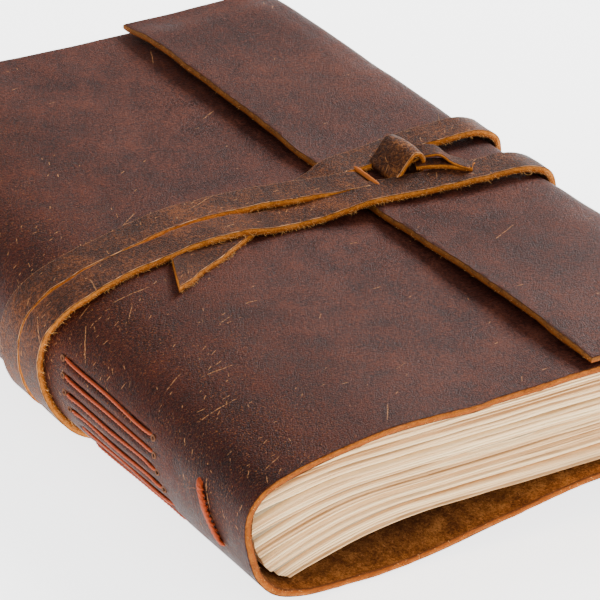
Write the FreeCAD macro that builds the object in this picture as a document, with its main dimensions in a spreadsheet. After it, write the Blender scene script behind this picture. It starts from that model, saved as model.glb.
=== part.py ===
"""Hand-bound leather wrap journal: soft hide cover, sewn signatures and a tied strap.

Frame: +X from the spine to the fore-edge, +Y from the tail to the head, +Z up.
The origin is at the middle of the footprint, on the surface that the journal lies on.
"""
import FreeCAD, Part
import os
import Sketcher
from FreeCAD import Placement, Rotation, Vector

DIMENSIONS = {
    # the hide that makes the cover, from the spine's outside to the fore-edge's outside
    "cover_length": 184.0,
    "cover_width": 130.0,
    "hide_thick": 2.3,
    "flap_length": 45.0,
    "spine_top_round": 13.0,
    "spine_low_round": 9.0,
    "edge_round": 9.0,
    "fold_margin": 1.0,
    "sag_run": 14.0,
    "drape_from": 22.0,
    "drape_to": 50.0,
    # the paper: folded signatures, stacked
    "signature_thick": 3.95,
    "page_lift": 4.0,
    "page_width": 120.0,
    "page_length": 178.0,
    "page_gap": 0.3,
    "fold_round": 1.5,
    # the strap, cut from a thinner hide
    "strap_width": 8.0,
    "strap_thick": 1.7,
    "strap_gap": 0.2,
    "lane_pitch": 8.2,
    "lane_middle": -3.8,
    "step_near": 16.0,
    "step_far": -38.0,
    "step_run": 6.0,
    "slit_place": 24.9,
    "slit_width": 2.1,
    "slit_length": 8.6,
    "tab_length": 9.8,
    # the strap's tucked end, where it slants under both bands
    "tip_bend": 4.0,
    "tip_bend_drop": 2.4,
    "tip_side_along": -30.5,
    "tip_side_across": -15.5,
    "tip_point_along": -38.0,
    "tip_point_across": -25.6,
    "tip_heel_along": -16.0,
    "tip_heel_across": -13.4,
    # the knot on the flap
    "knot_near": 27.0,
    "knot_far": 38.0,
    "knot_rise": 6.8,
    "knot_leaf": 10.2,
    # the waxed thread
    "thread_radius": 0.55,
    "stitch_length": 36.0,
    "stitch_place": 39.0,
    "stitch_pitch": 3.45,
    "stitch_low": 6.9,
    "wrap_place": 77.0,
    "wrap_rise": 11.0,
    "wrap_low": 13.5,
    "inner_thread_length": 164.0,
}
SIGNATURES = 6
# how far each signature's fold stands in from the straight of the spine, from the top one down
FOLD_INSETS = (9.6, 2.4, 0.0, 0.0, 0.0, 0.0)

doc = FreeCAD.newDocument("Journal")
dims = doc.addObject("Spreadsheet::Sheet", "Dims")
for row, (alias, value) in enumerate(DIMENSIONS.items(), 1):
    dims.set(f"A{row}", alias)
    dims.set(f"B{row}", str(value))
    dims.setAlias(f"B{row}", alias)
doc.recompute()

# places that several pieces share, as expressions of the sheet's cells
LEFT = "(-Dims.cover_width / 2)"
RIGHT = "(Dims.cover_width / 2)"
HIDE = "Dims.hide_thick"
STRAP = "Dims.strap_thick"
BACK_LOW = f"(2 * {STRAP})"
BACK_HIGH = f"({BACK_LOW} + {HIDE})"
PAGES_LOW = f"({BACK_HIGH} + Dims.page_lift)"
PAGES_HIGH = f"({PAGES_LOW} + {SIGNATURES} * Dims.signature_thick)"
FRONT_HIGH = f"({PAGES_HIGH} + {HIDE})"
FLAP_LOW = f"({FRONT_HIGH} + {STRAP})"
FLAP_HIGH = f"({FLAP_LOW} + {HIDE})"
FLAP_END = f"({RIGHT} - Dims.flap_length)"
LANES = {"a": "(Dims.lane_middle + Dims.lane_pitch)", "b": "Dims.lane_middle",
         "c": "(Dims.lane_middle - Dims.lane_pitch)"}

pieces = []


def value(expression):
    """The number that an expression of the sheet's cells gives."""
    return float(dims.evalExpression(expression))


def new_body(name, y="0"):
    """A body with its own label, placed along Y by an expression."""
    body = doc.addObject("PartDesign::Body", name)
    body.Label = name
    body.setExpression("Placement.Base.y", y)
    pieces.append(body)
    return body


def outline(body, role, corners):
    """A closed sketch of straight sides on one of the body's planes, each corner bound to the sheet."""
    sketch = body.newObject("Sketcher::SketchObject", body.Name + "Outline")
    plane = next(f for f in body.Origin.OriginFeatures if f.Role == role)
    sketch.AttachmentSupport = [(plane, "")]
    sketch.MapMode = "FlatFace"
    points = [Vector(value(across), value(up), 0) for across, up in corners]
    for start, end in zip(points, points[1:] + points[:1]):
        sketch.addGeometry(Part.LineSegment(start, end))
    for side in range(len(corners)):
        sketch.addConstraint(Sketcher.Constraint("Coincident", side, 2, (side + 1) % len(corners), 1))
    for side, (across, up) in enumerate(corners):
        for kind, expression, number in (("DistanceX", across, points[side].x),
                                         ("DistanceY", up, points[side].y)):
            index = sketch.addConstraint(Sketcher.Constraint(kind, -1, 1, side, 1, number))
            sketch.setExpression(f"Constraints[{index}]", expression)
    return sketch


def pad(body, sketch, length, both_ways=True):
    """Thickens the sketch to a solid, evenly to both sides or along the plane's normal."""
    feature = body.newObject("PartDesign::Pad", body.Name + "Pad")
    feature.Profile = sketch
    if both_ways:
        feature.SideType = "Symmetric"
    feature.setExpression("Length", length)
    sketch.Visibility = False
    doc.recompute()
    return feature


def round_edges(body, feature, places, radius):
    """Rounds the edges along Y that stand at the given places in X and Z."""
    wanted = [(value(across), value(up)) for across, up in places]
    names = []
    for number, edge in enumerate(feature.Shape.Edges, 1):
        middle = edge.BoundBox.Center
        along_y = edge.BoundBox.YLength > 1 and edge.BoundBox.XLength < 0.01 and edge.BoundBox.ZLength < 0.01
        if along_y and any(abs(middle.x - x) < 0.01 and abs(middle.z - z) < 0.01 for x, z in wanted):
            names.append(f"Edge{number}")
    if len(names) != len(places):
        raise RuntimeError(f"{body.Label}: {len(names)} of {len(places)} edges found to round")
    fillet = body.newObject("PartDesign::Fillet", f"{body.Name}Round{len(body.Group)}")
    fillet.Base = (feature, names)
    fillet.setExpression("Radius", radius)
    doc.recompute()
    return fillet


def bent_sheet(name, corners, rounds, y="0", width="Dims.cover_length"):
    """A sheet that keeps one XZ outline along Y, with some of its corners rounded."""
    body = new_body(name, y)
    feature = pad(body, outline(body, "XZ_Plane", corners), width)
    for places, radius in rounds:
        feature = round_edges(body, feature, places, radius)
    return body


def plate(name, low, high, bottom, top, y="0", width="Dims.cover_length"):
    """A flat sheet between two places along X and two heights."""
    corners = [(low, bottom), (high, bottom), (high, top), (low, top)]
    return bent_sheet(name, corners, [], y, width)


def band(inner, outer):
    """The corners of a bent band, from its inner line and its outer line."""
    return inner + outer[::-1]


# --- the cover, one hide, split where it folds ---
TOP_FOLD = f"({LEFT} + Dims.spine_top_round + Dims.fold_margin)"
LOW_FOLD = f"({LEFT} + Dims.spine_low_round + Dims.fold_margin)"
EDGE_FOLD = f"({RIGHT} - Dims.edge_round - Dims.fold_margin)"
SPINE_IN = f"({LEFT} + {HIDE})"
EDGE_IN = f"({RIGHT} - {HIDE})"


def make_cover():
    make_back_cover()
    wall_top = f"({FRONT_HIGH} - Dims.spine_top_round - Dims.fold_margin)"
    bent_sheet(
        "spine_panel",
        [(LOW_FOLD, BACK_LOW), (LEFT, BACK_LOW), (LEFT, wall_top), (SPINE_IN, wall_top),
         (SPINE_IN, BACK_HIGH), (LOW_FOLD, BACK_HIGH)],
        [([(LEFT, BACK_LOW)], "Dims.spine_low_round"),
         ([(SPINE_IN, BACK_HIGH)], f"Dims.spine_low_round - {HIDE}")])
    bent_sheet(
        "front_fold",
        [(LEFT, wall_top), (LEFT, FRONT_HIGH), (TOP_FOLD, FRONT_HIGH), (TOP_FOLD, PAGES_HIGH),
         (SPINE_IN, PAGES_HIGH), (SPINE_IN, wall_top)],
        [([(LEFT, FRONT_HIGH)], "Dims.spine_top_round"),
         ([(SPINE_IN, PAGES_HIGH)], f"Dims.spine_top_round - {HIDE}")])
    plate("front_cover", TOP_FOLD, f"({EDGE_IN} - {HIDE})", PAGES_HIGH, FRONT_HIGH)
    turn_low = f"({BACK_LOW} + Dims.edge_round + Dims.fold_margin)"
    turn_high = f"({FLAP_HIGH} - Dims.edge_round - Dims.fold_margin)"
    bent_sheet(
        "fore_edge_lower_fold",
        [(EDGE_FOLD, BACK_LOW), (RIGHT, BACK_LOW), (RIGHT, turn_low), (EDGE_IN, turn_low),
         (EDGE_IN, BACK_HIGH), (EDGE_FOLD, BACK_HIGH)],
        [([(RIGHT, BACK_LOW)], "Dims.edge_round"), ([(EDGE_IN, BACK_HIGH)], f"Dims.edge_round - {HIDE}")])
    plate("fore_edge_turn", EDGE_IN, RIGHT, turn_low, turn_high)
    bent_sheet(
        "fore_edge_upper_fold",
        [(EDGE_IN, turn_high), (RIGHT, turn_high), (RIGHT, FLAP_HIGH), (EDGE_FOLD, FLAP_HIGH),
         (EDGE_FOLD, FLAP_LOW), (EDGE_IN, FLAP_LOW)],
        [([(RIGHT, FLAP_HIGH)], "Dims.edge_round"), ([(EDGE_IN, FLAP_LOW)], f"Dims.edge_round - {HIDE}")])
    make_flap()


def make_back_cover():
    """The back of the hide: flat over the strap's runs, and sagging to the table at the tail and the head."""
    body = new_body("back_cover")
    half = "(Dims.cover_length / 2)"
    sag_low = f"({LOW_FOLD} + Dims.sag_run)"
    sag_high = f"({EDGE_FOLD} - Dims.sag_run)"
    sections = []
    for station, height in ((f"(-{half})", "0"), ("(-Dims.drape_to)", "0"), ("(-Dims.drape_from)", BACK_LOW),
                            ("Dims.drape_from", BACK_LOW), ("Dims.drape_to", "0"), (half, "0")):
        line = [(LOW_FOLD, BACK_LOW), (sag_low, height), (sag_high, height), (EDGE_FOLD, BACK_LOW)]
        upper = [(across, f"({up} + {HIDE})") for across, up in line]
        section = outline(body, "XZ_Plane", band(line, upper))
        section.setExpression("AttachmentOffset.Base.z", f"-{station}")
        section.Visibility = False
        sections.append(section)
    loft = body.newObject("PartDesign::AdditiveLoft", "BackCoverLoft")
    loft.Profile = sections[0]
    loft.Sections = sections[1:]
    loft.Ruled = True
    doc.recompute()


def make_flap():
    """The flap, with the slits that the strap is laced through."""
    flap = plate("flap", FLAP_END, EDGE_FOLD, FLAP_LOW, FLAP_HIGH)
    sketch = flap.newObject("Sketcher::SketchObject", "FlapSlits")
    plane = next(f for f in flap.Origin.OriginFeatures if f.Role == "XY_Plane")
    sketch.AttachmentSupport = [(plane, "")]
    sketch.MapMode = "FlatFace"
    far_slit = "(Dims.slit_place + Dims.tab_length)"
    for slit, middle in enumerate(("Dims.slit_place", far_slit)):
        sides = [(f"{middle} {a} Dims.slit_width / 2", f"Dims.lane_middle {b} Dims.slit_length / 2")
                 for a, b in (("-", "-"), ("+", "-"), ("+", "+"), ("-", "+"))]
        points = [Vector(value(across), value(up), 0) for across, up in sides]
        first = 4 * slit
        for side in range(4):
            sketch.addGeometry(Part.LineSegment(points[side], points[(side + 1) % 4]))
        for side in range(4):
            after = first + (side + 1) % 4
            sketch.addConstraint(Sketcher.Constraint("Coincident", first + side, 2, after, 1))
        for side, (across, up) in enumerate(sides):
            for kind, expression, number in (("DistanceX", across, points[side].x),
                                             ("DistanceY", up, points[side].y)):
                corner = Sketcher.Constraint(kind, -1, 1, first + side, 1, number)
                index = sketch.addConstraint(corner)
                sketch.setExpression(f"Constraints[{index}]", expression)
    whole = flap.Shape.Volume
    slits = flap.newObject("PartDesign::Pocket", "FlapSlitsPocket")
    slits.Profile = sketch
    slits.Type = "ThroughAll"
    slits.SideType = "Symmetric"
    doc.recompute()
    cut = 2 * value(f"Dims.slit_width * Dims.slit_length * {HIDE}")
    if abs(whole - flap.Shape.Volume - cut) > 0.1:
        raise RuntimeError("the slits are not cut through the flap")


# --- the text block ---
PAGE_FOLD = f"({SPINE_IN} + Dims.page_gap)"
PAGE_EDGE = f"({PAGE_FOLD} + Dims.page_width)"


def make_signature(number):
    """One gathering of folded sheets, with the hollow along its fold where its thread lies."""
    top = f"({PAGES_HIGH} - {number - 1} * Dims.signature_thick)"
    bottom = f"({top} - Dims.signature_thick)"
    middle = f"({top} - Dims.signature_thick / 2)"
    fold = f"({PAGE_FOLD} + {FOLD_INSETS[number - 1]})"
    inside = f"({fold} + Dims.fold_round)"
    signature = bent_sheet(
        f"signature_{number}",
        [(fold, bottom), (PAGE_EDGE, bottom), (PAGE_EDGE, top), (fold, top)],
        [([(fold, bottom), (fold, top)], "Dims.fold_round")], width="Dims.page_length")
    hollow = signature.newObject("PartDesign::SubtractiveCylinder", f"FoldHollow{number}")
    hollow.setExpression("Radius", "Dims.thread_radius + 0.05")
    hollow.setExpression("Height", "Dims.page_length + 2")
    hollow.setExpression("Placement.Base.x", inside)
    hollow.setExpression("Placement.Base.y", "Dims.page_length / 2 + 1")
    hollow.setExpression("Placement.Base.z", middle)
    hollow.Placement.Rotation = Rotation(Vector(1, 0, 0), 90)
    thread = doc.addObject("Part::Cylinder", f"signature_thread_{number}")
    thread.Label = f"signature_thread_{number}"
    thread.setExpression("Radius", "Dims.thread_radius")
    thread.setExpression("Height", "Dims.inner_thread_length")
    thread.setExpression("Placement.Base.x", inside)
    thread.setExpression("Placement.Base.y", "Dims.inner_thread_length / 2")
    thread.setExpression("Placement.Base.z", middle)
    thread.Placement.Rotation = Rotation(Vector(1, 0, 0), 90)
    pieces.append(thread)


# --- the sewing that shows on the spine ---
def thread_run(name, start, end):
    """A straight length of thread between two points."""
    run = doc.addObject("Part::Cylinder", name)
    run.setExpression("Radius", "Dims.thread_radius")
    run.Height = (end - start).Length
    run.Placement = Placement(start, Rotation(Vector(0, 0, 1), end - start))
    return run


def spine_stand(height, radius):
    """Where the middle of a thread of this radius stands along X, lying on the spine at a height."""
    bend = value("Dims.spine_low_round")
    drop = max(value(BACK_LOW) + bend - height, 0.0)
    reach = bend + radius
    return value(LEFT) + bend - (reach ** 2 - drop ** 2) ** 0.5


def make_long_stitches(name, side):
    """One long stitch for each signature, side by side on the spine, as separate solids."""
    runs = []
    middle = side * value("Dims.stitch_place")
    half = value("Dims.stitch_length / 2")
    for number in range(SIGNATURES):
        height = value(f"Dims.stitch_low + {number} * Dims.stitch_pitch")
        out = spine_stand(height, value("Dims.thread_radius"))
        runs.append(thread_run(f"{name}_{number + 1}", Vector(out, middle - half, height),
                               Vector(out, middle + half, height)))
    group = doc.addObject("Part::Compound", name)
    group.Label = name
    group.Links = runs
    pieces.append(group)


def make_wrapped_stitch(name, side):
    """The end stitch that stands upright on the spine, wrapped with the thread."""
    stitch = doc.addObject("Part::Cylinder", name)
    stitch.Label = name
    stitch.setExpression("Radius", "2 * Dims.thread_radius")
    stitch.setExpression("Height", "Dims.wrap_rise")
    stitch.setExpression("Placement.Base.x", f"{LEFT} - 2 * Dims.thread_radius")
    stitch.setExpression("Placement.Base.y", f"{side} * Dims.wrap_place")
    stitch.setExpression("Placement.Base.z", f"{BACK_LOW} + Dims.wrap_low")
    pieces.append(stitch)


# --- the strap: laced through the flap, twice round the book, its end tucked in ---
WRAP_LEFT = f"({LEFT} - Dims.strap_gap)"
WRAP_RIGHT = f"({RIGHT} + Dims.strap_gap)"
OUT_LEFT = f"({WRAP_LEFT} - {STRAP})"
OUT_RIGHT = f"({WRAP_RIGHT} + {STRAP})"
OVER_TIP = f"({FRONT_HIGH} + {STRAP})"
STEP_FAR_END = "(Dims.step_far - Dims.step_run)"
SLIT_NEAR = f"(Dims.slit_place - {STRAP} / 2)"
SLIT_FAR = f"(Dims.slit_place + {STRAP} / 2)"
CURL = "Dims.strap_gap * 2"


def raised(points):
    """The same line one strap thickness higher."""
    return [(across, f"({up} + {STRAP})") for across, up in points]


def over_the_cover(end):
    """The line under the strap from the flap's free edge to the spine, over the tucked end."""
    return [(FLAP_END, FLAP_HIGH), ("Dims.step_near", OVER_TIP), ("Dims.step_far", OVER_TIP),
            (STEP_FAR_END, FRONT_HIGH), (end, FRONT_HIGH)]


def make_strap():
    width = "Dims.strap_width"
    # first turn: out of the slit, over the cover and down round the spine
    top = over_the_cover(WRAP_LEFT)
    inner = [(SLIT_NEAR, FRONT_HIGH), (SLIT_NEAR, FLAP_HIGH)] + top
    inner += [(WRAP_LEFT, BACK_LOW), (LOW_FOLD, BACK_LOW)]
    outer = [(SLIT_FAR, FRONT_HIGH), (SLIT_FAR, f"({FLAP_HIGH} + {STRAP})")] + raised(top[:-1])
    outer += [(OUT_LEFT, f"({FRONT_HIGH} + {STRAP})"), (OUT_LEFT, STRAP), (LOW_FOLD, STRAP)]
    bent_sheet("strap_run_b", band(inner, outer),
               [([(WRAP_LEFT, FRONT_HIGH)], f"Dims.spine_top_round - {CURL}"),
                ([(OUT_LEFT, f"({FRONT_HIGH} + {STRAP})")], f"Dims.spine_top_round - {CURL} + {STRAP}"),
                ([(WRAP_LEFT, BACK_LOW)], f"Dims.spine_low_round - {CURL}"),
                ([(OUT_LEFT, STRAP)], f"Dims.spine_low_round - {CURL} + {STRAP}")],
               LANES["b"], width)
    # second turn: up the fore-edge, over the flap and the cover, and down round the spine
    inner = [(EDGE_FOLD, BACK_LOW), (WRAP_RIGHT, BACK_LOW), (WRAP_RIGHT, FLAP_HIGH)] + top
    inner += [(WRAP_LEFT, STRAP), (LOW_FOLD, STRAP)]
    outer = [(EDGE_FOLD, STRAP), (OUT_RIGHT, STRAP), (OUT_RIGHT, f"({FLAP_HIGH} + {STRAP})")]
    outer += raised(top[:-1]) + [(OUT_LEFT, f"({FRONT_HIGH} + {STRAP})"), (OUT_LEFT, "0"), (LOW_FOLD, "0")]
    bent_sheet("strap_run_c", band(inner, outer),
               [([(WRAP_LEFT, FRONT_HIGH)], f"Dims.spine_top_round - {CURL}"),
                ([(OUT_LEFT, f"({FRONT_HIGH} + {STRAP})")], f"Dims.spine_top_round - {CURL} + {STRAP}"),
                ([(WRAP_LEFT, STRAP), (WRAP_RIGHT, BACK_LOW), (WRAP_RIGHT, FLAP_HIGH)],
                 f"Dims.edge_round - {CURL}"),
                ([(OUT_LEFT, "0"), (OUT_RIGHT, STRAP), (OUT_RIGHT, f"({FLAP_HIGH} + {STRAP})")],
                 f"Dims.edge_round - {CURL} + {STRAP}")],
               LANES["c"], width)
    # last run: up the fore-edge again and over the flap to its free edge
    inner = [(EDGE_FOLD, STRAP), (WRAP_RIGHT, STRAP), (WRAP_RIGHT, FLAP_HIGH), (FLAP_END, FLAP_HIGH)]
    outer = [(EDGE_FOLD, "0"), (OUT_RIGHT, "0")] + raised(inner[2:])
    outer[2] = (OUT_RIGHT, outer[2][1])
    bent_sheet("strap_run_a", band(inner, outer),
               [([(WRAP_RIGHT, STRAP), (WRAP_RIGHT, FLAP_HIGH)], f"Dims.edge_round - {CURL}"),
                ([(OUT_RIGHT, "0"), (OUT_RIGHT, f"({FLAP_HIGH} + {STRAP})")],
                 f"Dims.edge_round - {CURL} + {STRAP}")],
               LANES["a"], width)
    make_under_run("strap_under_1", LANES["b"], LANES["c"], STRAP)
    make_under_run("strap_under_2", LANES["c"], LANES["a"], "0")
    make_strap_tip()
    make_lacing()


def make_under_run(name, lane_from, lane_to, bottom):
    """The strap under the book, from one lane at the spine to another at the fore-edge."""
    body = new_body(name)
    half = "Dims.strap_width / 2"
    corners = [(LOW_FOLD, f"({lane_from}) - {half}"), (EDGE_FOLD, f"({lane_to}) - {half}"),
               (EDGE_FOLD, f"({lane_to}) + {half}"), (LOW_FOLD, f"({lane_from}) + {half}")]
    pad(body, outline(body, "XY_Plane", corners), STRAP, both_ways=False)
    body.setExpression("Placement.Base.z", bottom)


def make_strap_tip():
    """The end of the strap, which comes down off the flap, slants under both bands and ends in a point."""
    body = new_body("strap_tip")
    half = "Dims.strap_width / 2"
    near = f"({FLAP_END} - Dims.strap_gap)"
    lane = LANES["a"]
    corners = [(near, f"{lane} - {half}"), (near, f"{lane} + {half}"), ("Dims.tip_bend", f"{lane} + {half}"),
               ("Dims.tip_side_along", "Dims.tip_side_across"),
               ("Dims.tip_point_along", "Dims.tip_point_across"),
               ("Dims.tip_heel_along", "Dims.tip_heel_across"),
               ("Dims.tip_bend", f"{lane} - {half} - Dims.tip_bend_drop")]
    pad(body, outline(body, "XY_Plane", corners), STRAP, both_ways=False)
    body.setExpression("Placement.Base.z", FRONT_HIGH)


def make_lacing():
    """The strap's other end: a short run under the flap between the slits, and the knot on top."""
    far_near = f"({SLIT_NEAR} + Dims.tab_length)"
    far_far = f"({SLIT_FAR} + Dims.tab_length)"
    corners = [(SLIT_FAR, FRONT_HIGH), (far_far, FRONT_HIGH), (far_far, FLAP_HIGH), (far_near, FLAP_HIGH),
               (far_near, FLAP_LOW), (SLIT_FAR, FLAP_LOW)]
    bent_sheet("strap_tab", corners, [], LANES["b"], "Dims.strap_width")
    knot = new_body("strap_knot", LANES["b"])
    near, far = "Dims.knot_near", "Dims.knot_far"
    low, high = f"({FLAP_HIGH} + Dims.knot_rise * 0.6)", f"({FLAP_HIGH} + Dims.knot_rise)"
    crown = "(Dims.knot_rise / 2)"
    corners = [(near, FLAP_HIGH), (far, FLAP_HIGH), (far, low), (f"({far} - {crown})", high),
               (f"({near} + {crown})", high), (near, low)]
    pad(knot, outline(knot, "XZ_Plane", corners), "Dims.strap_width")
    end = new_body("strap_knot_end", LANES["b"])
    half = "(Dims.strap_width / 2)"
    corners = [(far, f"(-{half})"), (f"({far} + Dims.knot_leaf)", f"(-{half} - {STRAP})"),
               (f"({far} + Dims.knot_leaf * 0.7)", "0"), (far, half)]
    pad(end, outline(end, "XY_Plane", corners), STRAP, both_ways=False)
    end.setExpression("Placement.Base.z", f"{FLAP_HIGH} + {STRAP}")


make_cover()
for count in range(1, SIGNATURES + 1):
    make_signature(count)
for place, way in (("tail", -1), ("head", 1)):
    make_long_stitches(f"long_stitches_{place}", way)
    make_wrapped_stitch(f"wrapped_stitch_{place}", way)
make_strap()
doc.recompute()

for thing in doc.Objects:
    if "Invalid" in thing.State or "Error" in thing.State:
        raise RuntimeError(f"{thing.Label} did not recompute: {thing.State}")
for piece in pieces:
    if piece.Shape.isNull() or not piece.Shape.isValid():
        raise RuntimeError(f"{piece.Label} has no valid shape")

os.makedirs("parts", exist_ok=True)
for piece in pieces:
    piece.Shape.exportStep(f"parts/{piece.Label}.step")
print(len(pieces), "pieces written")
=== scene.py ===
"""Looks of the leather wrap journal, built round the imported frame.

The helpers work in millimetres in the frame's axes: +X to the fore-edge, +Y to the head, +Z up.
"""
import math

import bpy
import numpy as np
from mathutils import Matrix, Vector


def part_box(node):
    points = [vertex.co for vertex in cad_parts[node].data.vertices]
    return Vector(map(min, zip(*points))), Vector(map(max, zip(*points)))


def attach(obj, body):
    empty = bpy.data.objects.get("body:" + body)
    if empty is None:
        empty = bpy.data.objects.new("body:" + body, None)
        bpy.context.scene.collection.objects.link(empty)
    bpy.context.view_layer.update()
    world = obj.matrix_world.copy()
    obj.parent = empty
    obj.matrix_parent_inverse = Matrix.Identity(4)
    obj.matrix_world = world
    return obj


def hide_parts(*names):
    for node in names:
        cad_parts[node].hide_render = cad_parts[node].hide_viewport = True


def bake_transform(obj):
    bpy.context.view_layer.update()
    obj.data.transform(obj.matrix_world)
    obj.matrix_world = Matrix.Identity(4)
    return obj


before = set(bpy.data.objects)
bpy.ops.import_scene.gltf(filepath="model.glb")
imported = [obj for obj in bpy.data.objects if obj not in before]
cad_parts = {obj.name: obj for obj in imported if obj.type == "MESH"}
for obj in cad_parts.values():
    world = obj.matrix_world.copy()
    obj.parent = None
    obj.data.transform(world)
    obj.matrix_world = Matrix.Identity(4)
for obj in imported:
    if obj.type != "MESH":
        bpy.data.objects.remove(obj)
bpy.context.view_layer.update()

MM = 0.001


def span(node, axis):
    """The lowest and highest place of a CAD node along one axis, in millimetres."""
    low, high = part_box(node)
    return low[axis] / MM, high[axis] / MM


# --- driving sizes, read from the frame ---
COVER_HALF = span("front_cover", 1)[1]
HIDE = np.ptp(span("front_cover", 2))
STRAP = np.ptp(span("strap_under_2", 2))
STRAP_WIDE = np.ptp(span("strap_run_c", 1))
PAGE_HALF = span("signature_3", 1)[1]
PAGE_EDGE_X = span("signature_3", 0)[1]
PAGES_LOW = span("signature_6", 2)[0]
PAGES_HIGH = span("signature_1", 2)[1] - 0.25
SIGNATURES = 6


# --- number helpers ---
def ease(values):
    """Smooth step from 0 to 1."""
    held = np.clip(values, 0.0, 1.0)
    return held * held * (3 - 2 * held)


def unit(vectors):
    """The same directions with length 1."""
    return vectors / np.linalg.norm(vectors, axis=-1)[..., None]


def table(where, stations):
    """A smooth reading of (place, value) stations."""
    places, values = np.array(stations, float).T
    index = np.clip(np.searchsorted(places, where) - 1, 0, len(places) - 2)
    share = ease((where - places[index]) / (places[index + 1] - places[index]))
    return values[index] + (values[index + 1] - values[index]) * share


def grain_noise(u, v, step, seed):
    """Smooth random values between -1 and 1 over two coordinates, with one knot every step."""
    rng = np.random.default_rng(seed)
    size = 97
    knots = rng.uniform(-1, 1, (size, size))
    a, b = np.asarray(u) / step, np.asarray(v) / step
    ia, ib = np.floor(a).astype(int), np.floor(b).astype(int)
    fa, fb = ease(a - ia), ease(b - ib)
    ia, ib, ja, jb = ia % size, ib % size, (ia + 1) % size, (ib + 1) % size
    low = knots[ia, ib] * (1 - fa) + knots[ja, ib] * fa
    high = knots[ia, jb] * (1 - fa) + knots[ja, jb] * fa
    return low * (1 - fb) + high * fb


def between(a, b, at_a, at_b, t):
    """The mix of a and b at t, which is all a at at_a and all b at at_b."""
    return (at_b - t) / (at_b - at_a) * a + (t - at_a) / (at_b - at_a) * b


def through(points, per_span):
    """A smooth curve through points, with per_span samples (one number or a list) between them."""
    p = np.array(points, float)
    p = np.vstack([2 * p[0] - p[1], p, 2 * p[-1] - p[-2]])
    counts = np.broadcast_to(per_span, len(p) - 3)
    out = []
    for i in range(1, len(p) - 2):
        gaps = [max(np.linalg.norm(p[i + k] - p[i + k - 1]), 1e-6) ** 0.5 for k in (0, 1, 2)]
        t0, t1 = 0.0, gaps[0]
        t2, t3 = t1 + gaps[1], t1 + gaps[1] + gaps[2]
        t = np.linspace(t1, t2, counts[i - 1], endpoint=False)[:, None]
        before, within = between(p[i - 1], p[i], t0, t1, t), between(p[i], p[i + 1], t1, t2, t)
        after = between(p[i + 1], p[i + 2], t2, t3, t)
        first, second = between(before, within, t0, t2, t), between(within, after, t1, t3, t)
        out.append(between(first, second, t1, t2, t))
    out.append(p[-2:-1])
    return np.vstack(out)


def lengths(path):
    """The distance along a path up to each of its points."""
    return np.concatenate([[0.0], np.cumsum(np.linalg.norm(np.diff(path, axis=0), axis=1))])


def at_lengths(path, wanted):
    """The points at given distances along a path."""
    along = lengths(path)
    return np.stack([np.interp(wanted, along, path[:, k]) for k in range(path.shape[1])], axis=-1)


def rows(low, high, step, rings=(0.3, 0.9)):
    """Places from low to high about a step apart, with closer rings beside both ends."""
    inner = np.linspace(low + rings[-1] + step * 0.6, high - rings[-1] - step * 0.6,
                        max(2, int((high - low) / step)))
    return np.concatenate([[low], [low + r for r in rings], inner, [high - r for r in rings[::-1]], [high]])


# --- mesh helpers ---
class Pile:
    """Vertices in millimetres, faces, slots and uvs that grow until they become one mesh."""

    def __init__(self):
        self.vertices, self.faces, self.slots, self.uvs, self.count = [], [], [], [], 0

    def add(self, vertices, faces, slots, uvs):
        self.vertices.append(np.asarray(vertices, float).reshape(-1, 3))
        self.faces += (np.asarray(faces) + self.count).tolist()
        self.slots += list(slots)
        self.uvs.append(np.asarray(uvs, float).reshape(-1, 2))
        self.count += len(self.vertices[-1])

    def mesh(self, name, materials, sharp=50):
        """All of it as one object, in metres."""
        mesh = bpy.data.meshes.new(name)
        mesh.from_pydata((np.vstack(self.vertices) * MM).tolist(), [], self.faces)
        for material in materials:
            mesh.materials.append(material)
        mesh.polygons.foreach_set("material_index", np.array(self.slots, np.int32))
        layer = mesh.uv_layers.new(name="UVMap")
        layer.data.foreach_set("uv", np.array(np.vstack(self.uvs), np.float32).ravel())
        mesh.polygons.foreach_set("use_smooth", np.ones(len(self.faces), bool))
        mesh.update()
        mesh.set_sharp_from_angle(angle=math.radians(sharp))
        piece = bpy.data.objects.new(name, mesh)
        bpy.context.scene.collection.objects.link(piece)
        return piece


def lattice(pile, points, along, across, through_it, slots=(0, 1, 2), flip=False):
    """The skin of a block of points[a, b, c]: slot 0 on the last c, 2 on the first c, 1 on the sides."""
    size = points.shape[:3]
    index = np.full(size, -1)
    skin = np.zeros(size, bool)
    skin[[0, -1]] = True
    skin[:, [0, -1]] = True
    skin[:, :, [0, -1]] = True
    index[skin] = np.arange(skin.sum())
    u3, v3, w3 = (np.broadcast_to(np.asarray(values, float).reshape(shape), size) for values, shape in
                  ((along, (-1, 1, 1)), (across, (1, -1, 1)), (through_it, (1, 1, -1))))
    top, side, bottom = slots
    sides = [(np.s_[:, :, -1], u3, v3, top, False), (np.s_[:, :, 0], u3, v3, bottom, True),
             (np.s_[:, -1, :], u3, w3, side, True), (np.s_[:, 0, :], u3, w3, side, False),
             (np.s_[-1, :, :], v3, w3, side, False), (np.s_[0, :, :], v3, w3, side, True)]
    faces, marks, uvs = [], [], []
    for where, first, second, slot, turned in sides:
        block, u, v = index[where], first[where], second[where]
        corners = [np.s_[:-1, :-1], np.s_[1:, :-1], np.s_[1:, 1:], np.s_[:-1, 1:]]
        if turned != flip:
            corners = corners[::-1]
        faces.append(np.stack([block[c] for c in corners], axis=-1).reshape(-1, 4))
        uvs.append(np.stack([np.stack([u[c], v[c]], axis=-1) for c in corners], axis=-2).reshape(-1, 2))
        marks += [slot] * len(faces[-1])
    pile.add(points[skin], np.vstack(faces), marks, np.vstack(uvs))


CORD_SIDES = 14
CORD_VALLEY = 0.72  # share of the radius between two strands
CORD_LOBE = 0.34  # how much further each strand stands out
CORD_TIP = 0.35  # share of the radius left at the cord's ends


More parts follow.
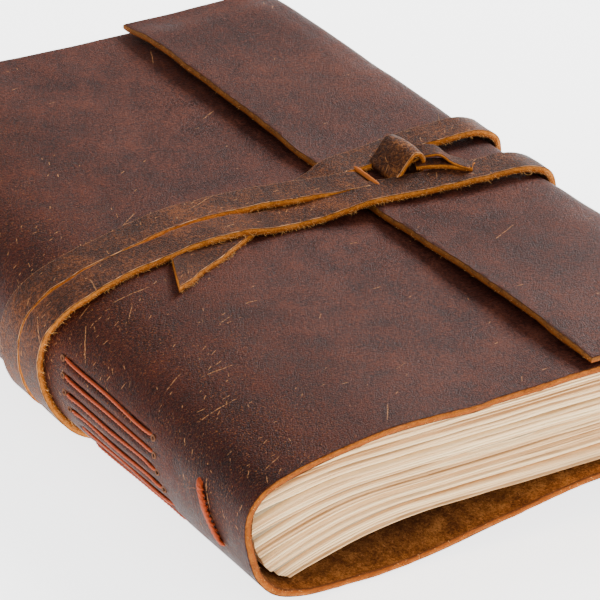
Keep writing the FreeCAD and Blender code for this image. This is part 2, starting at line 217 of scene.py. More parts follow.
def cord_mesh(pile, control, radius, strands, lay, step=0.22):
    """A twisted thread along a path: its section has one lobe for each strand."""
    fine = through(control, 16)
    total = lengths(fine)[-1]
    s = np.linspace(0, total, max(6, int(total / step)))
    centre = at_lengths(fine, s)
    tangent = unit(np.gradient(centre, axis=0))
    side = unit(np.cross(tangent, [-1.0, 0.0, 0.3]))
    up = np.cross(side, tangent)
    sides = CORD_SIDES
    angle = np.linspace(0, 2 * math.pi, sides, endpoint=False)
    lobe = np.abs(np.cos((angle - (2 * math.pi * s / lay)[:, None]) * strands / 2)) ** 0.8
    fade = CORD_TIP + (1 - CORD_TIP) * ease(np.minimum(s, total - s) / radius)
    reach = radius * (CORD_VALLEY + CORD_LOBE * lobe) * fade[:, None]
    outward = np.cos(angle)[:, None] * side[:, None] + np.sin(angle)[:, None] * up[:, None]
    ring = centre[:, None] + reach[:, :, None] * outward
    count = len(s)
    i, j = np.meshgrid(np.arange(count - 1), np.arange(sides), indexing="ij")
    i, j = i.ravel(), j.ravel()
    after = (j + 1) % sides
    here, beyond = i * sides, (i + 1) * sides
    faces = np.stack([here + j, here + after, beyond + after, beyond + j], axis=1)
    uv = np.stack([np.stack([s[a], b * 0.4], 1) for a, b in ((i, j), (i, j + 1), (i + 1, j + 1), (i + 1, j))],
                  axis=1)
    start = pile.count
    pile.add(ring.reshape(-1, 3), faces, [0] * len(faces), uv.reshape(-1, 2))
    for base, order in ((0, range(sides - 1, -1, -1)), ((count - 1) * sides, range(sides))):
        pile.faces.append([start + base + k for k in order])
        pile.slots.append(0)
        pile.uvs.append(np.zeros((sides, 2)))


FIBRE_SLOT = 3
FIBRE_LOWEST = 0.04  # no hair goes down through the ground
FIBRE_SUNK = 0.05
FIBRE_WAIST = 0.7  # its width half-way up, as a share of the width at its root
FIBRE_FACES = ((0, 1, 4, 3), (1, 2, 5, 4), (2, 0, 3, 5), (3, 4, 6), (4, 5, 6), (5, 3, 6))
FIBRE_POINTS = 7


def fibres(pile, roots, outward, lift, seed, mean=0.5):
    """Short tapered hairs standing on raw leather, with a mean length in millimetres."""
    rng = np.random.default_rng(seed)
    roots, outward, lift = (np.asarray(x, float) for x in (roots, outward, lift))
    count = len(roots)
    length = rng.gamma(2.2, mean / 2.2, count)[:, None]
    side = np.cross(outward, lift)
    aim = unit(outward + lift * rng.normal(0, 0.45, (count, 1)) + side * rng.normal(0, 0.6, (count, 1)))
    bend = lift * rng.normal(0, 0.25, (count, 1)) + side * rng.normal(0, 0.35, (count, 1))
    width = rng.uniform(0.04, 0.09, (count, 1))
    thirds = (0, 2 * math.pi / 3, 4 * math.pi / 3)
    around = [side * math.cos(angle) + lift * math.sin(angle) for angle in thirds]
    middle = roots + aim * length * 0.5
    tip = roots + (aim + bend) * length
    low_ring = [roots - aim * FIBRE_SUNK + corner * width for corner in around]
    high_ring = [middle + corner * width * FIBRE_WAIST for corner in around]
    vertices = np.stack(low_ring + high_ring + [tip], axis=1)
    vertices[:, :, 2] = np.maximum(vertices[:, :, 2], FIBRE_LOWEST)
    start = pile.count
    pile.vertices.append(vertices.reshape(-1, 3))
    pile.count += count * FIBRE_POINTS
    for i in range(count):
        for shape in FIBRE_FACES:
            pile.faces.append([start + i * FIBRE_POINTS + k for k in shape])
            pile.slots.append(FIBRE_SLOT)
            pile.uvs.append(np.full((len(shape), 2), float(i)))


def edge_roots(rng, edge, beside, low, high):
    """Random places on a cut edge, by share of its thickness, each up to one row beyond its own."""
    shares, slide = rng.uniform(low, high, (len(edge), 1)), rng.uniform(0, 1, (len(edge), 1))
    return edge[:, 0] + (edge[:, -1] - edge[:, 0]) * shares + (beside - edge[:, 0]) * slide


# --- materials: sizes are in millimetres, colours are shares of red, green and blue ---
MARK_SPREAD = 1.5  # radians
MARK_WAY = -0.54
MARK_WANDER = 0.5
MARK_THINNEST = 0.004
RUBBED = (0.30, 0.095, 0.022)
SCUFF = (0.60, 0.27, 0.10)
# the next colour is the pale cut corner of the grain, partly worn and partly a painted highlight
CORNER_LINE_AND_HIGHLIGHT = (0.85, 0.42, 0.18)
# the next two darken the hide beside and round the spine: partly its own tone, partly painted shade
BESIDE_SPINE_TONE_AND_SHADE = (0.66, 0.38, 0.24)
ROUND_SPINE_TONE_AND_SHADE = (0.50, 0.27, 0.18)
EDGE_CRUST = (0.055, 0.017, 0.006)
# the next two are the deeper orange under the grain, partly painted shade, and the painted shade along the
# edge's bottom
EDGE_CORE_AND_SHADE = (0.30, 0.062, 0.001)
EDGE_BOTTOM_SHADE = (0.07, 0.020, 0.003)
# the first nap colours are the nap darkened by painted shade inside the book
NAP_INSIDE_SHADE = ((0.018, 0.006, 0.002), (0.085, 0.030, 0.009), (0.27, 0.105, 0.030))
NAP_OUTSIDE = ((0.045, 0.0125, 0.0025), (0.24, 0.076, 0.013), (0.60, 0.235, 0.055))
NAP_GRIT = (0.025, 0.008, 0.002)
PAPER_TONES = ((0.74, 0.64, 0.48), (0.86, 0.78, 0.62))
PAPER_HAIR = (0.52, 0.38, 0.22)
LEAF_BANDS = ((0.52, 0.27, 0.105), (0.86, 0.555, 0.275), (0.98, 0.745, 0.43))
# the next colour is painted shade in the gaps between leaves
LEAF_GAP_SHADE = (0.36, 0.19, 0.08)
PAPER_SPOT = (0.30, 0.18, 0.10)
THREAD_TONES = ((0.14, 0.013, 0.003), (0.38, 0.052, 0.008), (0.66, 0.150, 0.022))


class Nodes:
    """Short spelling for a material's node tree."""

    def __init__(self, name, roughness=0.6, specular=0.5):
        self.material = bpy.data.materials.new(name)
        self.material.use_nodes = True
        self.tree = self.material.node_tree
        self.shader = self.tree.nodes["Principled BSDF"]
        self.shader.inputs["Roughness"].default_value = roughness
        self.shader.inputs["Specular IOR Level"].default_value = specular
        self.uv = self.tree.nodes.new("ShaderNodeTexCoord").outputs["UV"]

    def link(self, source, socket):
        self.tree.links.new(source, socket)

    def feed(self, socket, value):
        if isinstance(value, bpy.types.NodeSocket):
            self.link(value, socket)
        else:
            socket.default_value = value

    def make(self, kind, vector=None, **numbers):
        """A new node with numbers in its named inputs, and its vector linked."""
        node = self.tree.nodes.new("ShaderNode" + kind)
        for name, number in numbers.items():
            node.inputs[name].default_value = number
        if vector is not None:
            self.link(vector, node.inputs["Vector"])
        return node

    def stretched(self, along, across, turn=0.0):
        """The uv place, multiplied by two factors and turned."""
        return self.make("Mapping", self.uv, Scale=(along, across, 1), Rotation=(0, 0, turn)).outputs[0]

    def noise(self, vector, size, detail=4.0, rough=0.6, warp=0.0):
        """Noise whose features are about size millimetres."""
        look = {"Scale": 1.0 / size, "Detail": detail, "Roughness": rough, "Distortion": warp}
        return self.make("TexNoise", vector, **look).outputs["Fac"]

    def voronoi(self, vector, size, feature="F1"):
        """Random cells about size millimetres across."""
        node = self.make("TexVoronoi", vector, Scale=1.0 / size)
        node.feature = feature
        return node

    def math(self, operation, a, b=0.0, c=0.0, clamp=False):
        node = self.make("Math")
        node.operation = operation
        node.use_clamp = clamp
        for socket, value in zip(node.inputs, (a, b, c)):
            self.feed(socket, value)
        return node.outputs[0]

    def times(self, a, b):
        return self.math("MULTIPLY", a, b)

    def times_plus(self, a, b, c):
        return self.math("MULTIPLY_ADD", a, b, c)

    def absolute(self, a):
        return self.math("ABSOLUTE", a)

    def minus(self, a, b, clamp=False):
        return self.math("SUBTRACT", a, b, clamp=clamp)

    def span(self, value, low, high, to_low=0.0, to_high=1.0):
        """A smooth step: the value's stretch from low to high becomes to_low to to_high."""
        limits = {"From Min": low, "From Max": high, "To Min": to_low, "To Max": to_high}
        node = self.make("MapRange", **limits)
        node.interpolation_type = "SMOOTHSTEP"
        self.link(value, node.inputs["Value"])
        return node.outputs["Result"]

    def ramp(self, value, places, colours):
        node = self.make("ValToRGB")
        while len(node.color_ramp.elements) < len(places):
            node.color_ramp.elements.new(0.5)
        for element, place, colour in zip(node.color_ramp.elements, places, colours):
            element.position = place
            element.color = (*colour, 1)
        self.link(value, node.inputs["Fac"])
        return node.outputs["Color"]

    def mix(self, share, a, b, blend="MIX"):
        node = self.make("Mix")
        node.data_type = "RGBA"
        node.blend_type = blend
        self.feed(node.inputs["Factor"], share)
        for socket, colour in ((node.inputs[6], a), (node.inputs[7], b)):
            self.feed(socket, colour if isinstance(colour, bpy.types.NodeSocket) else (*colour, 1))
        return node.outputs[2]

    def tint(self, colour, mask, strength, tone, blend="MIX"):
        """The colour with a tone laid over it where the mask is 1."""
        return self.mix(self.times(mask, strength), colour, tone, blend)

    def split(self, vector):
        node = self.make("SeparateXYZ", vector)
        return node.outputs

    def bump(self, height, strength, distance_mm, under=None):
        node = self.make("Bump", Strength=strength, Distance=distance_mm * MM)
        self.link(height, node.inputs["Height"])
        if under is not None:
            self.link(under, node.inputs["Normal"])
        return node.outputs["Normal"]

    def finish(self, colour, roughness=None, normal=None):
        self.feed(self.shader.inputs["Base Color"], colour)
        if roughness is not None:
            self.link(roughness, self.shader.inputs["Roughness"])
        if normal is not None:
            self.link(normal, self.shader.inputs["Normal"])
        return self.material

    def scratches(self, size, length, width, share, mask, seed_turn):
        """Thin straight marks, one in some of the cells of a random pattern."""
        place = self.stretched(1, 1, seed_turn)
        cells = self.voronoi(place, size)
        cells.voronoi_dimensions = "2D"
        local = self.make("VectorMath")
        local.operation = "SUBTRACT"
        self.link(place, local.inputs[0])
        self.link(cells.outputs["Position"], local.inputs[1])
        x, y, _ = self.split(local.outputs[0])
        red, green, blue = self.split(cells.outputs["Color"])
        # most marks run one way, with a spread about it
        angle = self.times_plus(self.minus(red, 0.5), MARK_SPREAD, seed_turn + MARK_WAY)
        sine, cosine = self.math("SINE", angle), self.math("COSINE", angle)
        run = self.math("ADD", self.times(x, cosine), self.times(y, sine))
        off = self.minus(self.times(y, cosine), self.times(x, sine))
        wander = self.times(self.minus(self.noise(place, 2.5, 2), 0.5), MARK_WANDER)
        off = self.absolute(self.math("ADD", off, wander))
        reach = self.times_plus(green, length * 0.8, length * 0.2)
        inside = self.minus(1.0, self.math("DIVIDE", self.absolute(run), reach), clamp=True)
        # a mark keeps its full width up to the last third of its reach, and ends in a point
        thick = self.times(self.math("MINIMUM", self.times(inside, 3.0), 1.0), width)
        thick = self.math("MAXIMUM", thick, MARK_THINNEST)
        line = self.minus(1.0, self.math("DIVIDE", off, thick), clamp=True)
        chosen = self.math("LESS_THAN", blue, self.times(mask, share))
        broken = self.span(self.noise(place, 0.7, 3), 0.36, 0.56)
        return self.times(self.times(line, chosen), broken)


def leather(name, dark, mid, light, marks=1.0, grain=1.0, border=None, dust=0.0, spine=None):
    """The grain side of oiled hide: finely mottled, with pale scuffs where it was bent or rubbed."""
    n = Nodes(name, 0.5, 0.09)
    u, v, _ = n.split(n.uv)
    cloud = n.noise(n.uv, 30.0, 4, 0.6, 0.4)
    patch = n.noise(n.uv, 6.0, 5, 0.72, 0.3)
    fine = n.noise(n.uv, 0.8, 6, 0.8)
    speck = n.noise(n.uv, 0.34, 2)
    tone = n.times_plus(patch, 0.24, n.times(cloud, 0.16))
    tone = n.times_plus(fine, 0.60, tone)
    colour = n.ramp(n.span(tone, 0.40, 0.61), (0.0, 0.5, 1.0), (dark, mid, light))
    pores = n.span(speck, 0.58, 0.72)
    colour = n.tint(colour, pores, 0.6, tuple(c * 0.4 for c in dark))
    if spine is None:
        worn_most = n.span(n.noise(n.uv, 14.0, 3), 0.46, 0.66, 0.3, 1.0)
        where = n.span(n.noise(n.uv, 30.0, 3), 0.36, 0.62, 0.10, 1.0)
    else:
        # the hide is warmer and more rubbed where it goes round the spine, and darker there, partly its own
        # tone and partly painted shade on the spine, which faces away from the light
        near, far = spine
        beside = n.times(n.span(u, near - 45, near + 4), n.span(u, far + 16, far - 6))
        turned = n.times(n.span(u, near - 6, near + 8), n.span(u, far + 20, far - 2))
        ends = n.span(n.absolute(v), 30.0, 95.0, 0.35, 1.0)
        patchy = n.span(n.noise(n.uv, 20.0, 4, 0.65), 0.40, 0.62, 0.45, 1.0)
        worn_most = n.times(beside, patchy)
        # painted shade, together with the hide's own darker tone, multiplied over the spine and the hide
        # beside it
        colour = n.tint(colour, beside, 0.75, BESIDE_SPINE_TONE_AND_SHADE, "MULTIPLY")
        colour = n.mix(n.times(turned, n.times(ends, 0.9)), colour, ROUND_SPINE_TONE_AND_SHADE, "MULTIPLY")
        cluster = n.span(n.noise(n.uv, 22.0, 3), 0.44, 0.62, 0.05, 1.0)
        where = n.times(cluster, n.times_plus(beside, 0.92, 0.08))
    warm = n.span(n.noise(n.uv, 0.50, 4, 0.8, 0.5), 0.54, 0.65)
    share = n.times(n.times(warm, worn_most), 0.72 + dust)
    colour = n.mix(share, colour, RUBBED)
    long_marks = n.scratches(11.0, 7.0, 0.16, 0.85 * marks, where, 0.35)
    short_marks = n.scratches(2.7, 1.2, 0.15, 0.50 * marks, where, 1.9)
    marked = n.math("MAXIMUM", long_marks, n.times(short_marks, 0.9))
    colour = n.tint(colour, marked, 0.85, SCUFF)
    if border is not None:
        # the pale line along the cut corner, partly worn grain and partly a painted highlight
        edge = n.span(n.absolute(v), border - 0.34, border - 0.10)
        worn = n.span(n.noise(n.uv, 3.0, 3, 0.7), 0.30, 0.50)
        colour = n.tint(colour, n.times(edge, worn), 0.95, CORNER_LINE_AND_HIGHLIGHT)
    cells = n.voronoi(n.uv, 0.62, "DISTANCE_TO_EDGE")
    pebble = n.span(cells.outputs["Distance"], 0.0, 0.22)
    normal = n.bump(cloud, 0.25, 2.0)
    normal = n.bump(patch, 0.30, 0.6, normal)
    normal = n.bump(n.times_plus(pebble, 0.35, fine), 0.72 * grain, 0.22, normal)
    normal = n.bump(n.minus(1.0, marked), 0.4, 0.10, normal)
    uneven = n.times_plus(n.minus(fine, 0.5), 0.5, patch)
    return n.finish(colour, n.span(uneven, 0.25, 0.8, 0.38, 0.60), normal)


def raw_edge(name, low, high):
    """The cut edge of the hide: orange, fibrous, with a darker line under the grain (partly its own tone,
    partly painted shade) and painted shade along its bottom.
    """
    n = Nodes(name, 0.85, 0.2)
    depth = n.split(n.uv)[1]
    strands = n.noise(n.stretched(0.8, 3.2), 0.5, 5, 0.75, 0.4)
    blotch = n.noise(n.uv, 2.6, 3)
    tone = n.times_plus(strands, 0.65, n.times(blotch, 0.40))
    half_way = tuple((a + b) / 2 for a, b in zip(low, high))
    colour = n.ramp(n.span(tone, 0.32, 0.72), (0.0, 0.45, 1.0), (low, half_way, high))
    ragged = n.times_plus(n.minus(n.noise(n.uv, 0.9, 3, 0.7), 0.5), 0.30, depth)
    crust = n.span(ragged, 0.84, 0.97)
    colour = n.tint(colour, crust, 0.85, EDGE_CRUST)
    # a deeper orange below the grain: partly the edge's own tone, partly painted shade
    colour = n.tint(colour, n.span(ragged, 0.60, 0.38), 0.72, EDGE_CORE_AND_SHADE)
    # painted shade along the bottom of the edge, under its overhang
    bottom = n.span(ragged, 0.26, 0.10)
    colour = n.tint(colour, bottom, 0.80, EDGE_BOTTOM_SHADE)
    normal = n.bump(n.noise(n.stretched(1, 2.2), 0.28, 4, 0.8), 0.9, 0.30)
    return n.finish(colour, None, normal)


def suede():
    """The flesh side of the hide: golden brown nap, with painted shade darkening it further inside."""
    n = Nodes("flesh_side", 0.95, 0.15)
    across = n.split(n.uv)[1]
    nap = n.noise(n.uv, 0.7, 5, 0.8, 0.8)
    patch = n.noise(n.uv, 5.0, 4, 0.65, 0.5)
    tone = n.times_plus(nap, 0.6, n.times(patch, 0.45))
    shade = n.span(tone, 0.32, 0.72)
    inner, outer = (n.ramp(shade, (0.0, 0.5, 1.0), colours) for colours in (NAP_INSIDE_SHADE, NAP_OUTSIDE))
    # painted shade: the nap is darker away from the tail and head edges, further in under the pages
    near = n.span(n.absolute(across), COVER_HALF - 14.0, COVER_HALF - 1.0)
    colour = n.mix(near, inner, outer)
    grit = n.span(n.noise(n.uv, 0.45, 2, 0.7), 0.52, 0.66)
    colour = n.tint(colour, grit, 0.55, NAP_GRIT)
    normal = n.bump(nap, 1.0, 0.45)
    return n.finish(colour, None, normal)


def plain_fibre(name, colour):
    """Loose fibre of one colour, lighter in some hairs than in others."""
    n = Nodes(name, 0.8, 0.25)
    tone = n.noise(n.stretched(0.37, 0.37), 1.0, 2)
    return n.finish(n.mix(tone, tuple(c * 0.6 for c in colour), colour))


def paper_face():
    """The face of a handmade sheet: cream, with faint fibres and cockling."""
    n = Nodes("paper_face", 0.85, 0.2)
    mottle = n.noise(n.uv, 9.0, 5)
    hair = n.span(n.noise(n.stretched(1, 3.5, 0.6), 1.3, 4, 0.7, 1.2), 0.66, 0.80)
    colour = n.ramp(mottle, (0.3, 0.7), PAPER_TONES)
    colour = n.tint(colour, hair, 0.35, PAPER_HAIR)
    normal = n.bump(n.noise(n.uv, 0.8, 5, 0.7), 0.5, 0.12)
    return n.finish(colour, None, normal)


def paper_edge():
    """The deckled edges of the leaves: cream bands with brown lines of painted shade where one leaf lies on
    the next.
    """
    n = Nodes("paper_edge", 0.9, 0.15)
    leaf = n.split(n.uv)[1]
    drift = n.noise(n.stretched(1, 6.0), 26.0, 2)
    line = n.math("FRACT", n.math("ADD", leaf, n.times(n.minus(drift, 0.5), 0.9)))
    dark = n.span(n.absolute(n.minus(line, 0.5)), 0.26, 0.5)
    faint = n.span(n.noise(n.stretched(0.008, 0.60), 1.0, 3, 0.7), 0.36, 0.62)
    band = n.noise(n.stretched(0.004, 0.46), 1.0, 3)
    threads = n.noise(n.stretched(0.05, 1.6), 0.8, 3, 0.7)
    band = n.times_plus(n.minus(threads, 0.5), 0.15, band)
    colour = n.ramp(n.span(band, 0.34, 0.64), (0.0, 0.45, 1.0), LEAF_BANDS)
    # painted shade in the gaps between the leaves
    colour = n.tint(colour, n.times(dark, faint), 0.75, LEAF_GAP_SHADE)
    spots = n.span(n.noise(n.stretched(1, 0.7), 1.1, 2), 0.76, 0.80)
    colour = n.tint(colour, spots, 0.4, PAPER_SPOT)
    normal = n.bump(n.noise(n.stretched(0.6, 2.0), 0.5, 4, 0.75), 0.6, 0.22)
    return n.finish(colour, None, normal)


def thread_wax():
    """Waxed linen thread: orange-red, with the fine lay of its fibres."""
    n = Nodes("waxed_thread", 0.6, 0.2)
    lay = n.noise(n.stretched(0.8, 2.4, 0.6), 0.25, 4, 0.7)
    colour = n.ramp(lay, (0.25, 0.55, 0.8), THREAD_TONES)
    normal = n.bump(lay, 0.6, 0.10)
    return n.finish(colour, None, normal)


SPINE_ALONG = (112.0, 158.0)  # where the spine's round begins and ends along the hide
GRAIN = leather("cover_leather", (0.018, 0.0050, 0.0036), (0.062, 0.0170, 0.0112), (0.122, 0.036, 0.0205),
                spine=SPINE_ALONG)
STRAP_GRAIN = leather("strap_leather", (0.012, 0.0036, 0.0018), (0.058, 0.0165, 0.0070),
                      (0.19, 0.058, 0.017), marks=0.6, grain=1.6, border=STRAP_WIDE / 2, dust=-0.12)
KNOT_WIDER = 1.4  # how much the knotted strip spreads on each side
KNOT_GRAIN = leather("knot_leather", (0.016, 0.0050, 0.0022), (0.085, 0.027, 0.010), (0.30, 0.105, 0.026),
                     marks=1.2, grain=1.8, border=STRAP_WIDE / 2 + KNOT_WIDER, dust=0.45)
EDGE = raw_edge("cut_edge", (0.11, 0.023, 0.002), (0.52, 0.142, 0.007))
STRAP_EDGE = raw_edge("strap_edge", (0.26, 0.060, 0.006), (0.90, 0.310, 0.036))
# the flap's cut edge in darker colours than the other cut edges: painted shade on the edge that faces away
# from the light
FLAP_EDGE_SHADED = raw_edge("flap_edge_shaded", (0.045, 0.014, 0.002), (0.36, 0.125, 0.020))
RIM = plain_fibre("hole_rim", (0.16, 0.055, 0.018))
SLIT_EDGE = plain_fibre("slit_edge", (0.55, 0.14, 0.015))
FLESH = suede()
FUZZ = plain_fibre("edge_fibre", (0.95, 0.48, 0.14))
PAGE = paper_face()
DECKLE = paper_edge()
THREAD = thread_wax()
HIDE_SLOTS = [GRAIN, EDGE, FLESH, FUZZ]
FLAP_SLOTS = [GRAIN, FLAP_EDGE_SHADED, FLESH, FUZZ]
STRAP_SLOTS = [STRAP_GRAIN, STRAP_EDGE, FLESH, FUZZ]
KNOT_SLOTS = [KNOT_GRAIN, STRAP_EDGE, FLESH, FUZZ]


# --- the hide: outlines of its grain side, (x, z), at the middle and at the tail and head ---
MIDDLE = [(60.2, 35.4), (40, 35.5), (15, 35.6), (-10, 35.6), (-30, 35.6), (-44, 35.3), (-53, 33.9),
          (-60, 30.6), (-64, 25.8), (-65, 20), (-64.2, 13.5), (-61.5, 8), (-57, 4.7), (-49, 3.5),
          (-36, 3.4), (-15, 3.4), (10, 3.4), (35, 3.4), (52, 3.5), (59.5, 5.3), (64, 10.3), (65, 17),
          (65, 25), (65.4, 32.2), (63.1, 37.9), (56.7, 39.3), (44, 38.9), (32, 38.3), (20, 38.1)]
ENDS = [(60.2, 35.9), (40, 36.1), (15, 35.9), (-10, 35.7), (-30, 35.9), (-44, 34.6), (-53, 33.0),
        (-60.3, 30.6), (-64.4, 26.2), (-65, 21), (-63.6, 14.5), (-61.0, 8.5), (-56.5, 3.8), (-49.8, 1.4),
        (-38, 0.5), (-20, 0.8), (0, 3.6), (25, 6.8), (48, 6.2), (58.5, 6.9), (63.8, 11.2), (65, 17.5),
        (65, 25), (65.5, 32.8), (63.2, 38.9), (56.7, 40.5), (44, 40.5), (32, 40.1), (20, 39.8)]
BACK_CUT = 17  # the outline's points where the cover ends and where the flap begins
TURN_CUT = 22
LIFT = [(-92, 0.45), (-82, 0.85), (-66, 1.0), (-48, 0.95), (-32, 0.40), (-17, 0.0), (10, 0.0), (24, 0.45),
        (40, 0.8), (62, 1.0), (80, 0.9), (92, 0.35)]
SPANS = [12, 16, 16, 13, 10, 9, 10, 10, 12, 12, 12, 9, 8, 9, 11, 12, 12, 10, 9, 9, 8, 7, 7, 8, 8, 8, 9, 10]
SPINE_SPANS = (7, 14)
OUTLINES = [through(MIDDLE, SPANS), through(ENDS, SPANS)]
STITCH_HEIGHTS = (24.4, 20.9, 17.2, 13.6, 10.2, 7.4)
STITCH_NEAR = (21.3, 22.3, 23.2, 24.6, 27.0, 29.5)
STITCH_LONG = 36.0
STITCH_DENT = 0.72
PARED = 0.24  # share of the thickness taken off the flesh side at the tail and head edges
PARED_FLAP = 0.22
PARED_OVER = 9
HIDE_LAYERS = np.array([0.0, 0.12, 0.37, 0.63, 0.88, 1.0])
CORNER_WORN = 0.10


def toward_end(y):
    """The change from the middle of the book (0) to its tail or head (1)."""
    return ease((np.abs(y) - 20) / 62)


def weights(y, place):
    """How far the outline has changed from the middle one to the end one, by place along it."""
    on_flap = ease((place - 21.5) / 3.5)[:, None]
    return toward_end(y) * (1 - on_flap) + table(y, LIFT) * on_flap


def groove(x, y, z):
    """How deep the long stitches press into the spine."""
    depth = np.zeros_like(z)
    on_spine = ease((-54 - x) / 4)
    for height, near in zip(STITCH_HEIGHTS, STITCH_NEAR):
        along = ease((np.abs(y) - near) / 2.0) * ease((near + STITCH_LONG - np.abs(y)) / 2.0)
        depth += along * np.exp(-(((z - height) / STITCH_DENT) ** 2))
    return depth * on_spine


def hide_fibres(pile, points, normal, along, ys, seed, free_end):
    """Fibres along the tail and head edges, and along a free edge."""
    rng = np.random.default_rng(seed + 7)
    for column, sign in ((0, -1), (-1, 1)):
        count = int((along[-1] - along[0]) * 2.0)
        at = rng.integers(1, len(along) - 1, count)
        roots = edge_roots(rng, points[at, column], points[at + 1, column, 0], 0.05, 0.7)
        up = np.stack([normal[at, column, 0], np.zeros(count), normal[at, column, 1]], axis=1)
        fibres(pile, roots, [0.0, sign, 0.0], up, seed + 11 + column, mean=0.34)
    if free_end:
        at = rng.integers(1, len(ys) - 1, int((ys[-1] - ys[0]) * 2.2))
        roots = edge_roots(rng, points[-1, at], points[-1, at + 1, 0], 0.05, 0.75)
        fibres(pile, roots, [-1.0, 0.0, 0.0], [0.0, 0.0, 1.0], seed + 20, mean=0.38)


def hide_piece(name, first, last, ys, seed, slots):
    """The hide between two numbered points of its outline, as one closed thick sheet."""
    mid, end = OUTLINES
    place = [np.linspace(i, i + 1, SPANS[i], endpoint=False) for i in range(first, last)]
    place = np.concatenate(place + [[last]])
    low, high = sum(SPANS[:first]), sum(SPANS[:last]) + 1
    free_start, free_end = first == 0, last == len(MIDDLE) - 1
    along = lengths(mid)[low:high]
    share = weights(ys, place)[:, :, None]
    flat = mid[low:high, None, :] * (1 - share) + end[low:high, None, :] * share
    whole_share = weights(ys, np.linspace(0, len(MIDDLE) - 1, len(mid)))[:, :, None]
    whole = mid[:, None, :] * (1 - whole_share) + end[:, None, :] * whole_share
    tangent = unit(np.gradient(whole, axis=0)[low:high])
    normal = np.stack([tangent[:, :, 1], -tangent[:, :, 0]], axis=2)
    u, v = np.meshgrid(along, ys, indexing="ij")
    swell = 0.22 * grain_noise(u, v, 23.0, 5) + 0.10 * grain_noise(u, v, 9.0, 6)
    on_top = ease((flat[:, :, 1] - 30) / 4)
    swell = swell * (0.35 + 0.65 * on_top) - groove(flat[:, :, 0], v, flat[:, :, 1])
    pared = 1 - PARED * ease((np.abs(v) - (COVER_HALF - PARED_OVER)) / PARED_OVER)
    if free_end:
        pared *= (1 - PARED_FLAP * ease((u - (along[-1] - PARED_OVER)) / PARED_OVER))
    points = np.zeros((len(along), len(ys), len(HIDE_LAYERS), 3))
    waver = 0.30 * grain_noise(u, v * 0 + 3, 7.0, seed + 1)
    for k, layer in enumerate(HIDE_LAYERS):
        base = flat + normal * (swell - HIDE * (1 - layer) * pared)[:, :, None]
        rolled = 0.28 * abs(2 * layer - 1) ** 3
        chew = 0.16 * grain_noise(u + 40 * k, v + 17 * k, 0.9, seed + 2)
        x, z, y = base[:, :, 0].copy(), base[:, :, 1].copy(), v.copy()
        for column, sign in ((0, 1), (-1, -1)):
            y[:, column] += sign * (rolled + chew[:, column]) + waver[:, column]
            if layer == HIDE_LAYERS[-1]:
                x[:, column] -= normal[:, column, 0] * CORNER_WORN
                z[:, column] -= normal[:, column, 1] * CORNER_WORN
        for used, row, sign in ((free_start, 0, 1), (free_end, -1, -1)):
            if used:
                x[row] += tangent[row, :, 0] * sign * (rolled + chew[row])
                x[row] += 0.35 * grain_noise(v[row], 0, 9.0, seed)
                z[row] += tangent[row, :, 1] * sign * rolled
        points[:, :, k] = np.stack([x, y, z], axis=-1)
    pile = Pile()
    lattice(pile, points, along, ys, HIDE_LAYERS, flip=True)
    hide_fibres(pile, points, normal, along, ys, seed, free_end)
    return pile.mesh(name, slots)


COVER_YS = rows(-COVER_HALF, COVER_HALF, 1.6)
cover = hide_piece("cover_hide", 0, BACK_CUT, COVER_YS, 11, HIDE_SLOTS)
turn = hide_piece("fore_edge_hide", BACK_CUT, TURN_CUT, COVER_YS, 31, HIDE_SLOTS)
flap = hide_piece("flap_hide", TURN_CUT, len(MIDDLE) - 1, COVER_YS, 51, FLAP_SLOTS)
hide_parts("front_cover", "front_fold", "spine_panel", "back_cover")
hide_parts("fore_edge_lower_fold", "fore_edge_turn")
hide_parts("fore_edge_upper_fold", "flap")
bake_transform(cover)
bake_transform(turn)
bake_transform(flap)


def stands_for(piece, body, node):
    """A rigid piece in place of one CAD node."""
    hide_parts(node)
    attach(piece, body)


# --- the signatures ---
LEAVES = 5
FOLD_MIDDLE = [(-49.5, 9.0), (-56, 11.2), (-60, 14.7), (-61.8, 18.4), (-61.9, 22.2), (-60, 26.6),
               (-50.5, 31.9)]
FOLD_ENDS = [(-50.2, 4.3), (-55.0, 6.9), (-58.4, 11.0), (-60.6, 16.2), (-61.6, 21.3), (-59.9, 26.6),
             (-50.5, 31.3)]
FOLDS = [through(FOLD_MIDDLE, 12), through(FOLD_ENDS, 12)]
# how much each fold is pinched; the top gathering swings furthest and needs most room
PINCH = (0.24, 0.14, 0.12, 0.08, 0.05, 0.03)
THREAD_OFF = 2.2  # from the outside of the fold to the thread inside it


def fold_at(level, y):
    """The folds' x and z, by level through the book (0 to 1) and place along it."""
    middle, ends = FOLDS
    share = toward_end(y)
    knots = np.linspace(0, 1, len(middle))
    return [np.interp(level, knots, middle[:, k]) * (1 - share) + np.interp(level, knots, ends[:, k]) * share
            for k in (0, 1)]


def leaf_of(through_it):
    """The leaf at each level of a gathering, and how near a face of the leaf it is (1 on the face)."""
    leaf = np.floor(through_it)
    return np.clip(leaf.astype(int), 0, LEAVES), np.abs(2 * (through_it - leaf) - 1)


